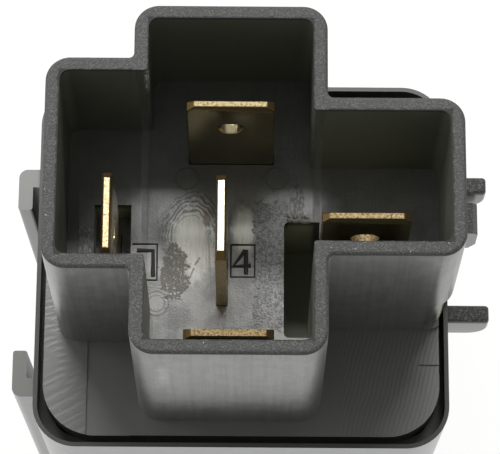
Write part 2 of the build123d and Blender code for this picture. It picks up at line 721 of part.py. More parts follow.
def make_resistor_leads():
    left_x, _, _ = blade_places()["terminal_left"]
    _, right_y, _ = blade_places()["terminal_right"]
    x = sum(right_leg_x()) / 2
    middle = column_x + resistor_x
    end0, end1 = middle - resistor_l / 2, middle + resistor_l / 2
    y, z = resistor_y, resistor_z
    left = wire(lead_d, (end0, y, z), (left_x + blade_t / 2, y, z))
    right = wire(lead_d, (end1, y, z), (x, y, z), (x, right_y + blade_t / 2, z))
    return [left, right]


def all_parts():
    return {
        "case": make_case(),
        "base": make_base(),
        "terminal_left": make_terminal_left(),
        "terminal_right": make_terminal_right(),
        "terminal_back": make_terminal_back(),
        "terminal_centre": make_terminal_centre(),
        "terminal_front": make_terminal_front(),
        "yoke": make_yoke(),
        "core": make_core(),
        "bobbin": make_bobbin(),
        "coil_winding": make_coil_winding(),
        "common_rivet": make_common_rivet(),
        "spring_rivets": make_spring_rivets(),
        "armature": make_armature(),
        "contact_spring": make_contact_spring(),
        "armature_rivets": make_armature_rivets(),
        "moving_contact": make_moving_contact(),
        "closed_contact": fixed_contact(nc_face_z, 1),
        "open_contact": fixed_contact(no_face_z, -1),
        "coil_lead_left": make_coil_lead_left(),
        "coil_lead_right": make_coil_lead_right(),
        "resistor_body": make_resistor_body(),
        "resistor_leads": make_resistor_leads(),
    }


os.makedirs("parts", exist_ok=True)
for name, shape in all_parts().items():
    if isinstance(shape, list):
        shape = Compound(children=[s.solid() for s in shape])
    export_step(shape, f"parts/{name}.step")
print("rim", rim_z, "floor", floor_z, "pole", round(pole_z, 3), "hinge y", yoke_back_y)
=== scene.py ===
"""Automotive relay with a cross-shaped plug shroud, dressed on its CAD frame. Metres; +Z runs to the tips."""

import json
import math

import bmesh
import bpy
from mathutils import Matrix, Vector

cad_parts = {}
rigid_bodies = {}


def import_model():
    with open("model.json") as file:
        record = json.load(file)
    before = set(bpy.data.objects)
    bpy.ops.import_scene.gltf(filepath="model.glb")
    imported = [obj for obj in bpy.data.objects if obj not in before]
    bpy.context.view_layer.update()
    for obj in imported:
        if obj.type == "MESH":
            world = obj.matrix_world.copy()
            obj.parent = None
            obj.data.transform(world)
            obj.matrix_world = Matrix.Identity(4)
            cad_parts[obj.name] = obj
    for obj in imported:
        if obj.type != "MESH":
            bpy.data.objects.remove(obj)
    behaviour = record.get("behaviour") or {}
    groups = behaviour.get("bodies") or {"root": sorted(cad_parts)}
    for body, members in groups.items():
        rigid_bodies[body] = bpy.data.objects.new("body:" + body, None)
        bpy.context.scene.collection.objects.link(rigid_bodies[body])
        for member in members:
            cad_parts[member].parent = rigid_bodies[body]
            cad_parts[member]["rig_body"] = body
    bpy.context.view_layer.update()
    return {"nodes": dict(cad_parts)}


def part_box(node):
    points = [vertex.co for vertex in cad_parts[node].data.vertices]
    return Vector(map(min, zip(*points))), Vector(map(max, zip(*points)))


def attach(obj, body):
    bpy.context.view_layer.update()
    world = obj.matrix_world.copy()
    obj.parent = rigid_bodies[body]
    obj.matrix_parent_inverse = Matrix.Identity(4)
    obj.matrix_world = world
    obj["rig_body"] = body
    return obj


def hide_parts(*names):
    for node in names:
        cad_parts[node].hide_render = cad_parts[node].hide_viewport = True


MM = 0.001

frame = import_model()

# Places on the relay
SHROUD_DEPTH = 12.4 * MM        # from the shroud's rim down to its floor
PLATE_RECESS = 0.3 * MM         # plate's top below the case's rim
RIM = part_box("base")[1].z
FLOOR = RIM - SHROUD_DEPTH
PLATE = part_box("case")[1].z - PLATE_RECESS
CASE_SIDE = 15.7 * MM           # half the case's width
COLUMN_X = -0.85 * MM           # middle of the shroud's front-to-back column
COLUMN_FRONT = -12.4 * MM       # its front face


def on_floor(x, y, z=0.0):
    """A place on the shroud's floor, in millimetres from the column's middle and its front face."""
    return Vector((COLUMN_X + x * MM, COLUMN_FRONT + y * MM, FLOOR + z * MM))


# The shroud's outline, as the boxes of its column and its two arms
SHROUD_BOXES = (
    (on_floor(-6.9, 0.0), on_floor(6.9, 25.9)),
    (on_floor(-13.2, 6.15), on_floor(-6.0, 21.85)),
    (on_floor(6.0, 7.2), on_floor(16.65, 18.95)),
)


# Node trees

def connect(tree, socket, value):
    """Link a socket to another one, or set it to a plain value."""
    if isinstance(value, bpy.types.NodeSocket):
        tree.links.new(value, socket)
    else:
        socket.default_value = value


def add(tree, kind, inputs=None, **settings):
    """A node of that kind, with its settings and the values of its inputs."""
    node = tree.nodes.new(kind)
    for key, value in settings.items():
        setattr(node, key, value)
    for key, value in (inputs or {}).items():
        connect(tree, node.inputs[key], value)
    return node


def maths(tree, operation, a, b=0.0, c=0.0, clamp=False):
    return add(tree, "ShaderNodeMath", {0: a, 1: b, 2: c}, operation=operation, use_clamp=clamp).outputs[0]


def vector(tree, operation, a, b):
    return add(tree, "ShaderNodeVectorMath", {0: a, 1: b}, operation=operation).outputs


def plus(tree, a, b):
    return maths(tree, "ADD", a, b)


def minus(tree, a, b):
    return maths(tree, "SUBTRACT", a, b)


def times(tree, first, *others):
    """Numbers multiplied: of masks, what they all cover."""
    for other in others:
        first = maths(tree, "MULTIPLY", first, other)
    return first


def largest(tree, first, *others):
    """The largest of some numbers: of masks, what any of them covers."""
    for other in others:
        first = maths(tree, "MAXIMUM", first, other)
    return first


def without(tree, mask):
    return minus(tree, 1.0, mask)


def ramp(tree, value, low, high, low_to=0.0, high_to=1.0):
    """A smooth step from low_to to high_to as value goes from low to high."""
    inputs = {"Value": value, "From Min": low, "From Max": high, "To Min": low_to, "To Max": high_to}
    return add(tree, "ShaderNodeMapRange", inputs, interpolation_type="SMOOTHSTEP").outputs[0]


def blend(tree, share, a, b):
    """Number a turning into number b."""
    return add(tree, "ShaderNodeMix", {0: share, 2: a, 3: b}, data_type="FLOAT").outputs[0]


def mix(tree, share, a, b):
    """Colour a turning into colour b."""
    return add(tree, "ShaderNodeMix", {0: share, 6: a, 7: b}, data_type="RGBA").outputs[2]


def axes(tree, place):
    """A place's x, y and z."""
    return add(tree, "ShaderNodeSeparateXYZ", {0: place}).outputs[:]


def facing(tree):
    """How far the surface faces upwards: 1 on a level top, 0 on a wall."""
    return axes(tree, add(tree, "ShaderNodeNewGeometry").outputs["Normal"])[2]


def bump(tree, height, strength, distance):
    inputs = {"Height": height, "Strength": strength, "Distance": distance}
    return add(tree, "ShaderNodeBump", inputs).outputs[0]


def wavering(tree, place, amount, size=0.6 * MM):
    """A number that wanders by about the amount from place to place."""
    noise = add(tree, "ShaderNodeTexNoise", {"Vector": place, "Scale": 1 / size, "Detail": 3.0}).outputs[0]
    return times(tree, minus(tree, noise, 0.5), amount)


def grey(level, warmth=0.0):
    """A dark plastic's colour: warmth above 0 is brownish, below 0 greenish."""
    return (level * (1 + warmth), level, level * (1 - abs(warmth) - 0.06), 1.0)


# Effects that the materials share. Their inputs are places and numbers, and they put out numbers.

ORIGIN = (0.0, 0.0, 0.0)


def effect(name, inputs, outputs):
    """An empty shader node group: its tree, the sockets of its inputs by name, and its last node."""
    tree = bpy.data.node_groups.new(name, "ShaderNodeTree")
    for label, value in inputs.items():
        kind = "NodeSocketFloat" if isinstance(value, float) else "NodeSocketVector"
        tree.interface.new_socket(label, in_out="INPUT", socket_type=kind).default_value = value
    for label in outputs:
        tree.interface.new_socket(label, in_out="OUTPUT", socket_type="NodeSocketFloat")
    start = tree.nodes.new("NodeGroupInput")
    end = tree.nodes.new("NodeGroupOutput")
    return tree, start.outputs, end


def put_out(tree, end, **values):
    for label, value in values.items():
        tree.links.new(value, end.inputs[label])


def use(tree, group, **inputs):
    """The outputs of an effect that is placed in a material, with its own values."""
    node = add(tree, "ShaderNodeGroup", node_tree=group)
    for key, value in inputs.items():
        connect(tree, node.inputs[key], value)
    return node.outputs


def make_grain():
    """Spark-eroded grain of a moulding: fine bumps and a little mottling."""
    tree, given, end = effect("moulded grain", {"Place": ORIGIN, "Size": 0.15 * MM}, ["Height", "Mottle"])
    place = given["Place"]
    scale = maths(tree, "DIVIDE", 1.0, given["Size"])
    broad_scale = times(tree, scale, 0.12)
    fine = add(tree, "ShaderNodeTexNoise", {"Vector": place, "Scale": scale, "Detail": 2.0, "Roughness": 0.6})
    broad = add(tree, "ShaderNodeTexNoise", {"Vector": place, "Scale": broad_scale, "Detail": 3.0,
                                             "Roughness": 0.55})
    put_out(tree, end, Height=fine.outputs[0], Mottle=broad.outputs[0])
    return tree


def make_streaks():
    """Drag lines that run along one axis, as a mould leaves on its draft faces."""
    inputs = {"Place": ORIGIN, "Spacing": 0.4 * MM, "Stretch": (1.0, 1.0, 0.03)}
    tree, given, end = effect("drag lines", inputs, ["Lines"])
    stretched = vector(tree, "MULTIPLY", given["Place"], given["Stretch"])[0]
    scale = maths(tree, "DIVIDE", 1.0, given["Spacing"])
    noise = add(tree, "ShaderNodeTexNoise", {"Vector": stretched, "Scale": scale, "Detail": 3.0,
                                             "Roughness": 0.5})
    put_out(tree, end, Lines=noise.outputs[0])
    return tree


def away(tree, given):
    """How far the place lies from the effect's centre, in shares of its reach."""
    offset = vector(tree, "SUBTRACT", given["Place"], given["Centre"])[0]
    share = vector(tree, "DIVIDE", offset, given["Reach"])[0]
    return add(tree, "ShaderNodeVectorMath", {0: share}, operation="LENGTH").outputs["Value"]


def make_oval_patch():
    """A soft-edged oval area with an uneven outline."""
    inputs = {"Place": ORIGIN, "Centre": ORIGIN, "Reach": (MM, MM, MM), "Unevenness": 0.6, "Softness": 0.15}
    tree, given, end = effect("uneven oval patch", inputs, ["Mask"])
    distance = plus(tree, away(tree, given), wavering(tree, given["Place"], given["Unevenness"]))
    inner, outer = minus(tree, 1.0, given["Softness"]), plus(tree, 1.0, given["Softness"])
    put_out(tree, end, Mask=ramp(tree, distance, inner, outer, 1.0, 0.0))
    return tree


def make_box_patch():
    """An upright box-shaped area, its outline uneven: 1 inside, and how far a place lies outside it."""
    inputs = {"Place": ORIGIN, "Low": ORIGIN, "High": ORIGIN, "Unevenness": 0.0, "Softness": 0.1 * MM}
    tree, given, end = effect("uneven box patch", inputs, ["Mask", "Outside"])
    below = vector(tree, "SUBTRACT", given["Low"], given["Place"])[0]
    above = vector(tree, "SUBTRACT", given["Place"], given["High"])[0]
    x, y, _ = axes(tree, vector(tree, "MAXIMUM", below, above)[0])
    outside = largest(tree, x, y)
    uneven = plus(tree, outside, wavering(tree, given["Place"], given["Unevenness"]))
    inner, outer = times(tree, given["Softness"], -1.0), given["Softness"]
    put_out(tree, end, Mask=ramp(tree, uneven, inner, outer, 1.0, 0.0), Outside=outside)
    return tree


def make_rings():
    """A ring round a centre, and the ripples that run round it."""
    inputs = {"Place": ORIGIN, "Centre": ORIGIN, "Reach": (1.0, 1.0, 1.0), "Radius": 1.0 * MM,
              "Width": 0.1 * MM, "Waver": 0.0}
    tree, given, end = effect("rings", inputs, ["Mask", "Ripples"])
    width = given["Width"]
    radius = plus(tree, away(tree, given), wavering(tree, given["Place"], given["Waver"], 1.6 * MM))
    gap = maths(tree, "ABSOLUTE", minus(tree, radius, given["Radius"]))
    mask = ramp(tree, gap, times(tree, width, 0.25), width, 1.0, 0.0)
    turns = times(tree, maths(tree, "DIVIDE", radius, width), math.pi)
    ripples = maths(tree, "MULTIPLY_ADD", maths(tree, "SINE", turns), 0.5, 0.5)
    put_out(tree, end, Mask=mask, Ripples=ripples)
    return tree


def make_scratch():
    """A scored line between two places, its edges ragged."""
    inputs = {"Place": ORIGIN, "Start": ORIGIN, "End": ORIGIN, "Width": 0.08 * MM}
    tree, given, end = effect("scratch", inputs, ["Mask"])
    place, width = given["Place"], given["Width"]
    along = vector(tree, "SUBTRACT", given["End"], given["Start"])[0]
    offset = vector(tree, "SUBTRACT", place, given["Start"])[0]
    reached = vector(tree, "DOT_PRODUCT", offset, along)["Value"]
    whole = vector(tree, "DOT_PRODUCT", along, along)["Value"]
    share = maths(tree, "DIVIDE", reached, whole, clamp=True)
    nearest = add(tree, "ShaderNodeVectorMath", {0: along, "Scale": share}, operation="SCALE").outputs[0]
    gap = vector(tree, "DISTANCE", offset, nearest)["Value"]
    gap = plus(tree, gap, wavering(tree, place, times(tree, width, 1.5), 0.3 * MM))
    put_out(tree, end, Mask=ramp(tree, gap, times(tree, width, 0.2), width, 1.0, 0.0))
    return tree


def make_specks():
    """Scattered dust and pin-prick specks of mixed sizes."""
    tree, given, end = effect("specks", {"Place": ORIGIN, "Spacing": 0.8 * MM, "Size": 0.12}, ["Mask"])
    scale = maths(tree, "DIVIDE", 1.0, given["Spacing"])
    cells = add(tree, "ShaderNodeTexVoronoi", {"Vector": given["Place"], "Scale": scale}).outputs
    chance = add(tree, "ShaderNodeSeparateColor", {0: cells["Color"]}).outputs[0]
    size = times(tree, given["Size"], chance)
    put_out(tree, end, Mask=ramp(tree, cells["Distance"], times(tree, size, 0.6), size, 1.0, 0.0))
    return tree


def make_tool_marks():
    """Fine, slightly wavy lines that run along one way, a tool's marks in the mould."""
    inputs = {"Place": ORIGIN, "Turn": ORIGIN, "Spacing": 0.3 * MM, "Waviness": 3.0}
    tree, given, end = effect("tool marks", inputs, ["Lines"])
    turned = add(tree, "ShaderNodeVectorRotate", {"Vector": given["Place"], "Rotation": given["Turn"]},
                 rotation_type="EULER_XYZ").outputs[0]
    scale = maths(tree, "DIVIDE", 0.314, given["Spacing"])      # the wave texture's own bands are 0.314 apart
    waves = add(tree, "ShaderNodeTexWave", {"Vector": turned, "Scale": scale, "Distortion": given["Waviness"],
                                            "Detail": 2.0, "Detail Scale": 0.35})
    put_out(tree, end, Lines=waves.outputs["Fac"])
    return tree


GRAIN, STREAKS, SPECKS = make_grain(), make_streaks(), make_specks()
OVAL_PATCH, BOX_PATCH = make_oval_patch(), make_box_patch()
RINGS, SCRATCH, TOOL_MARKS = make_rings(), make_scratch(), make_tool_marks()


# Marks on the shroud's floor, their places and sizes in millimetres

def oval(tree, place, x, y, reach_x, reach_y, **outline):
    return use(tree, OVAL_PATCH, Place=place, Centre=on_floor(x, y), Reach=(reach_x * MM, reach_y * MM, 1.0),
               **outline)["Mask"]


def zone(tree, place, low, high, **outline):
    return use(tree, BOX_PATCH, Place=place, Low=on_floor(*low), High=on_floor(*high), **outline)["Mask"]


def ring(tree, place, x, y, radius, width, reach_y=1.0):
    return use(tree, RINGS, Place=place, Centre=on_floor(x, y), Reach=(1.0, reach_y, 1.0), Radius=radius * MM,
               Width=width * MM)["Mask"]


def scratch(tree, place, start, end, width):
    return use(tree, SCRATCH, Place=place, Start=on_floor(*start), End=on_floor(*end),
               Width=width * MM)["Mask"]


# Materials

def finish_material(name):
    """A new material: its tree, its shader and the place of a point on the piece."""
    material = bpy.data.materials.new(name)
    material.use_nodes = True
    tree = material.node_tree
    shader = tree.nodes["Principled BSDF"]
    place = add(tree, "ShaderNodeTexCoord").outputs["Object"]
    return material, tree, shader, place


def feed(tree, shader, **sockets):
    """Set a shader's sockets, their names written with underscores."""
    for label, value in sockets.items():
        connect(tree, shader.inputs[label.replace("_", " ")], value)


# A finish is a dict: its colour, how rough it is, how much clear skin lies on it, and its relief from 0 to 1.
# A face's own roughness keeps clear of 0.27, where the render's denoiser leaves dark specks.

def lay(tree, mask, under, **over):
    """A finish with parts of it changed where the mask is 1."""
    mixed = dict(under)
    for part, value in over.items():
        mixed[part] = (mix if part == "colour" else blend)(tree, mask, under[part], value)
    return mixed


# The base: rim, walls, pocket and slot

def rim_finish(tree, place, outside):
    """Spark-eroded top of the shroud: pepper-and-salt grain, matt, and darker and rougher in a ragged band
    along its inner edge.
    """
    grain = use(tree, GRAIN, Place=place, Size=0.12 * MM)["Height"]
    colour = mix(tree, ramp(tree, grain, 0.46, 0.70), grey(0.007, -0.02), grey(0.050))
    specks = use(tree, SPECKS, Place=place, Spacing=0.8 * MM, Size=0.10)["Mask"]
    colour = mix(tree, times(tree, specks, 0.35), colour, grey(0.5, 0.01))
    ragged = plus(tree, outside, wavering(tree, place, 0.35 * MM, 0.4 * MM))
    darkened = ramp(tree, ragged, -0.98 * MM, -0.90 * MM, 1.0, 0.0)
    rim = {"colour": colour, "rough": 0.72, "skin": 0.0, "relief": grain}
    return lay(tree, darkened, rim, colour=grey(0.004), rough=0.9)


def inner_wall_finish(tree, place):
    """Smooth walls in the shade of the shroud, painted paler than the outer walls as painted light, with
    faint drag lines, and dusty at the right arm's end.
    """
    x, _, z = axes(tree, place)
    mottle = use(tree, GRAIN, Place=place, Size=0.9 * MM)["Mottle"]
    lines = use(tree, STREAKS, Place=place, Spacing=0.4 * MM)["Lines"]
    # Painted light: a paler, greenish colour than the outer walls', lifting the shade inside the shroud
    colour = mix(tree, mottle, (0.034, 0.039, 0.028, 1.0), (0.056, 0.062, 0.047, 1.0))
    dust = use(tree, SPECKS, Place=place, Spacing=0.7 * MM, Size=0.16)["Mask"]
    at_right_end = ramp(tree, x, COLUMN_X + 15.2 * MM, COLUMN_X + 15.5 * MM)
    near_rim = ramp(tree, z, RIM - 6.0 * MM, RIM - 2.0 * MM)
    colour = mix(tree, times(tree, dust, at_right_end, near_rim, 0.5), colour, grey(0.6, 0.01))
    wall = {"colour": colour, "rough": 0.42, "skin": 0.0, "relief": times(tree, lines, 0.3)}

    # Painted highlight: a pale, speckled glint streak down the corner between the column and the left arm
    torn = use(tree, OVAL_PATCH, Place=place, Centre=on_floor(-5.9, 20.85, 10.4),
               Reach=(0.5 * MM, 0.5 * MM, 2.1 * MM), Unevenness=1.4, Softness=0.2)["Mask"]
    glint_grain = ramp(tree, use(tree, GRAIN, Place=place, Size=0.25 * MM)["Height"], 0.42, 0.62)
    wall = lay(tree, torn, wall, colour=mix(tree, glint_grain, grey(0.03), grey(0.32)), rough=0.6)

    # The cored pocket and the slot, below the floor: matt, and painted pale as painted light, with a darker
    # foot as painted shade
    below = ramp(tree, z, FLOOR - 1.2 * MM, FLOOR - 0.3 * MM, 1.0, 0.0)
    pocket_foot_shade = times(tree, below, ramp(tree, facing(tree), 0.6, 0.9))
    wall = lay(tree, below, wall, colour=(0.32, 0.33, 0.25, 1.0), rough=0.6)
    return lay(tree, pocket_foot_shade, wall, colour=(0.16, 0.17, 0.125, 1.0), rough=0.75)


def outer_wall_finish(tree, place):
    """Satin outer walls, dragged by the mould along their height and grained below the rim."""
    z = axes(tree, place)[2]
    grain = use(tree, GRAIN, Place=place, Size=0.13 * MM)["Height"]
    broad = use(tree, GRAIN, Place=place, Size=1.1 * MM)
    lines = use(tree, STREAKS, Place=place, Spacing=0.35 * MM, Stretch=(1.0, 1.0, 0.035))["Lines"]
    near_rim = ramp(tree, z, RIM - 3.4 * MM, RIM - 0.8 * MM)
    colour = mix(tree, broad["Mottle"], grey(0.012, -0.02), grey(0.024))
    colour = mix(tree, times(tree, near_rim, ramp(tree, grain, 0.55, 0.75)), colour, grey(0.06))
    glossy = ramp(tree, blend(tree, 0.5, lines, broad["Height"]), 0.40, 0.60)

    # Rubbed patch on the front, left of its middle
    rubbed = zone(tree, place, (-4.95, -2.0), (-4.40, 1.0), Softness=0.35 * MM, Unevenness=0.9 * MM)
    rubbed = times(tree, rubbed, ramp(tree, z, RIM - 10.0 * MM, RIM - 7.0 * MM),
                   ramp(tree, z, RIM - 5.0 * MM, RIM - 2.6 * MM, 1.0, 0.0), 0.28)
    return {"colour": mix(tree, rubbed, colour, grey(0.42, 0.02)),
            "rough": blend(tree, broad["Height"], 0.285, 0.385),
            "skin": blend(tree, glossy, 0.65, 0.95),
            "relief": plus(tree, times(tree, lines, 0.10), times(tree, grain, near_rim, 0.5))}


# The base: the shroud's floor, laid from its polished ground up to its marks

def polished_ground(tree, place, fine, broad, scored):
    """The floor as the mould left it: its front paler with painted light, both arms and the back duller and
    darker with painted shade.
    """
    x, y, _ = axes(tree, place)
    clouds = use(tree, GRAIN, Place=place, Size=2.1 * MM)["Height"]
    # Painted light: a paler colour on the front of the floor, where light falls in past the back wall, ending
    # in a wavering line
    front = ramp(tree, plus(tree, y, wavering(tree, place, 0.5 * MM)), COLUMN_FRONT + 15.0 * MM,
                 COLUMN_FRONT + 16.4 * MM, 1.0, 0.0)
    painted_light_front = times(tree, front, ramp(tree, blend(tree, 0.35, clouds, broad), 0.36, 0.60))
    colour = mix(tree, broad, grey(0.026, -0.02), grey(0.044))
    colour = mix(tree, painted_light_front, colour, grey(0.075, 0.01))
    colour = mix(tree, times(tree, ramp(tree, fine, 0.56, 0.66), 0.3), colour, grey(0.012))
    polish = ramp(tree, blend(tree, 0.3, clouds, scored), 0.36, 0.60)
    floor = {"colour": colour, "rough": blend(tree, broad, 0.44, 0.54),
             "skin": blend(tree, polish, 0.45, 1.0),
             "relief": plus(tree, times(tree, fine, 0.40), times(tree, scored, 0.15))}

    # Painted shade: both arms and the back, where the walls shade the floor, get a darker colour as well as a
    # duller skin
    in_left_arm = ramp(tree, x, COLUMN_X - 8.2 * MM, COLUMN_X - 6.4 * MM, 1.0, 0.0)
    in_right_arm = ramp(tree, x, COLUMN_X + 6.2 * MM, COLUMN_X + 7.4 * MM)
    at_back = ramp(tree, y, COLUMN_FRONT + 15.4 * MM, COLUMN_FRONT + 17.4 * MM)
    dull = times(tree, largest(tree, in_left_arm, in_right_arm, at_back), 0.65)
    return lay(tree, dull, floor, colour=grey(0.014, -0.01), skin=0.0, rough=0.5)


def painted_light_patches(tree, place, floor, scored):
    """Painted light: pale, smooth patches on both sides of the centre blade, lightening the floor where the
    blade casts its shade.
    """
    left = oval(tree, place, -2.7, 12.2, 1.75, 2.9, Unevenness=0.9, Softness=0.38)
    right = oval(tree, place, 0.95, 13.0, 0.8, 1.7, Unevenness=0.8, Softness=0.35)
    painted_light_tone = mix(tree, ramp(tree, scored, 0.42, 0.58), grey(0.38, 0.01), grey(0.46, 0.01))
    return lay(tree, largest(tree, left, times(tree, right, 0.9)), floor, colour=painted_light_tone, skin=1.0)


def broken_ripples(tree, place, floor, blotches, broad):
    """Ripples round the smooth patch left of the centre blade, broken here and there."""
    swirl = {"Place": place, "Centre": on_floor(-2.9, 12.5), "Reach": (1.0, 1.35, 1.0), "Waver": 0.9 * MM}
    band = use(tree, RINGS, Radius=1.95 * MM, Width=1.1 * MM, **swirl)["Mask"]
    ripples = use(tree, RINGS, Width=0.12 * MM, **swirl)["Ripples"]
    unbroken = ramp(tree, blend(tree, 0.5, blotches, broad), 0.40, 0.52)
    behind = zone(tree, place, (-5.8, 12.0), (1.3, 17.5), Softness=0.9 * MM)
    return lay(tree, times(tree, band, ripples, unbroken, behind, 0.85), floor, colour=grey(0.008, -0.02),
               skin=0.08, rough=0.5)


def pitted_zone(tree, place, floor, fine, blotches):
    """A dull, pitted zone with short cross marks, right of the number frame."""
    pitted = zone(tree, place, (1.75, 5.3), (4.3, 15.3), Unevenness=1.7 * MM, Softness=0.12 * MM)
    pits = ramp(tree, blend(tree, 0.5, blotches, fine), 0.42, 0.58)
    floor = lay(tree, pitted, floor, colour=mix(tree, pits, grey(0.012, -0.01), grey(0.055)),
                skin=blend(tree, pits, 0.10, 0.55), rough=0.46)
    marks = use(tree, STREAKS, Place=place, Spacing=0.16 * MM, Stretch=(0.4, 1.0, 1.0))["Lines"]
    marks = times(tree, pitted, ramp(tree, marks, 0.60, 0.68))
    return lay(tree, marks, floor, colour=grey(0.008), skin=0.0, rough=0.55)


def brown_patches(tree, place, floor):
    """A rough brown patch with pale crumbs, and a small brown spot by the blade."""
    patch = oval(tree, place, -4.15, 9.7, 1.0, 2.25, Unevenness=2.0, Softness=0.12)
    speckle = ramp(tree, use(tree, GRAIN, Place=place, Size=0.11 * MM)["Height"], 0.46, 0.66)
    specks = use(tree, SPECKS, Place=place, Spacing=0.26 * MM, Size=0.62)["Mask"]
    crumbs = largest(tree, times(tree, specks, 0.5), times(tree, speckle, 0.55))
    floor = lay(tree, times(tree, patch, 0.9), floor,
                colour=mix(tree, crumbs, (0.034, 0.030, 0.021, 1.0), grey(0.30, 0.03)),
                skin=times(tree, crumbs, 0.5), rough=0.5, relief=crumbs)
    spot = oval(tree, place, -1.78, 13.8, 0.28, 0.6, Unevenness=0.9, Softness=0.3)
    return lay(tree, times(tree, spot, 0.7), floor, colour=(0.10, 0.06, 0.03, 1.0), skin=0.2)


def rings_and_scratches(tree, place, floor):
    """Rings left by ejector pins, the recess line round the front blade, scratches and a low ridge."""
    marks = (
        ring(tree, place, -5.45, 7.26, 0.92, 0.11),
        ring(tree, place, -5.45, 7.26, 0.62, 0.07),
        ring(tree, place, -3.31, 17.09, 0.86, 0.10),
        ring(tree, place, 3.44, 17.14, 0.86, 0.10),
        ring(tree, place, 0.0, 1.4, 4.9, 0.09, reach_y=0.82),
        scratch(tree, place, (-3.7, 16.8), (-2.9, 17.5), 0.07),
        scratch(tree, place, (3.1, 16.7), (3.8, 17.4), 0.07),
        scratch(tree, place, (-2.30, 10.80), (-2.62, 10.25), 0.10),
        scratch(tree, place, (-2.70, 10.0), (-3.0, 9.25), 0.11),
    )
    for mark in marks:
        floor = lay(tree, times(tree, mark, 0.7), floor, colour=grey(0.008), skin=0.1)
    ridge = scratch(tree, place, (-1.68, 13.0), (-1.33, 7.0), 0.10)
    return lay(tree, times(tree, ridge, 0.45), floor, colour=grey(0.015), skin=0.5)


def brushed_scuffs(tree, place, floor):
    """Scuffs by the pocket, by the right neck and left of the left blade's slot."""
    scuffed = largest(tree, oval(tree, place, 3.4, 7.7, 0.8, 0.8, Unevenness=1.2),
                      oval(tree, place, 4.9, 15.2, 0.6, 1.5, Unevenness=1.1),
                      zone(tree, place, (-11.3, 7.0), (-10.0, 13.2), Softness=0.06 * MM))
    brushed = use(tree, STREAKS, Place=place, Spacing=0.16 * MM, Stretch=(1.0, 0.45, 1.0))["Lines"]
    brushed = ramp(tree, brushed, 0.44, 0.60)
    return lay(tree, times(tree, scuffed, 0.8), floor, skin=blend(tree, brushed, 0.05, 0.55),
               colour=mix(tree, brushed, grey(0.012), grey(0.075, 0.01)))


def dull_strip(tree, place, floor):
    """The duller strip along the left arm's outer wall, and the dark line at its edge."""
    strip = zone(tree, place, (-13.2, 7.0), (-11.36, 21.0), Softness=0.04 * MM)
    floor = lay(tree, strip, floor, colour=grey(0.034, 0.02), skin=0.0, rough=0.6)
    edge = scratch(tree, place, (-11.36, 7.0), (-11.36, 13.6), 0.09)
    return lay(tree, edge, floor, colour=grey(0.004), skin=0.0)


def floor_finish(tree, place):
    """The shroud's floor: its polished ground, and all that lies on it."""
    fine = use(tree, GRAIN, Place=place, Size=0.14 * MM)["Height"]
    blotches = use(tree, GRAIN, Place=place, Size=0.26 * MM)["Height"]
    broad = use(tree, GRAIN, Place=place, Size=1.2 * MM)["Height"]
    scored = use(tree, STREAKS, Place=place, Spacing=0.16 * MM, Stretch=(1.0, 0.10, 1.0))["Lines"]
    floor = polished_ground(tree, place, fine, broad, scored)
    floor = painted_light_patches(tree, place, floor, scored)
    floor = broken_ripples(tree, place, floor, blotches, broad)
    floor = pitted_zone(tree, place, floor, fine, blotches)
    floor = brown_patches(tree, place, floor)
    floor = rings_and_scratches(tree, place, floor)
    floor = brushed_scuffs(tree, place, floor)
    return dull_strip(tree, place, floor)


# The base: the plate round the shroud

def plate_finish(tree, place):
    """Fine tool marks, with crossing arcs at the left corner and wavy hatching at the right."""
    x = axes(tree, place)[0]
    broad = use(tree, GRAIN, Place=place, Size=1.3 * MM)["Height"]
    lines = use(tree, STREAKS, Place=place, Spacing=0.3 * MM, Stretch=(1.0, 0.05, 1.0))["Lines"]
    arcs = largest(tree, *(
        use(tree, RINGS, Place=place, Centre=centre, Width=width, Waver=0.3 * MM)["Ripples"]
        for centre, width in ((on_floor(-14.4, 4.6), 0.18 * MM), (on_floor(-10.6, -2.4), 0.20 * MM))))
    wavy = use(tree, TOOL_MARKS, Place=place, Turn=(0.0, 0.0, 0.25), Spacing=0.33 * MM, Waviness=4.0)["Lines"]
    at_left = ramp(tree, x, COLUMN_X - 11.0 * MM, COLUMN_X - 10.0 * MM, 1.0, 0.0)
    at_right = ramp(tree, x, COLUMN_X + 7.0 * MM, COLUMN_X + 9.0 * MM)
    scored = blend(tree, at_left, blend(tree, at_right, lines, wavy), arcs)
    colour = mix(tree, broad, grey(0.014, -0.02), grey(0.030, -0.01))
    colour = mix(tree, times(tree, scored, 0.4), colour, grey(0.006))
    specks = use(tree, SPECKS, Place=place, Spacing=1.2 * MM, Size=0.07)["Mask"]
    colour = mix(tree, times(tree, specks, 0.4), colour, grey(0.5, 0.01))
    relief = times(tree, scored, blend(tree, largest(tree, at_left, at_right), 0.08, 0.14))
    return {"colour": colour, "rough": 0.38, "skin": 1.0, "relief": relief}


def outside_shroud(tree, place):
    """How far a place lies outside the shroud's outline, below 0 in its walls and inside."""
    outside = None
    for low, high in SHROUD_BOXES:
        past = use(tree, BOX_PATCH, Place=place, Low=low, High=high)["Outside"]
        outside = past if outside is None else maths(tree, "MINIMUM", outside, past)
    return outside


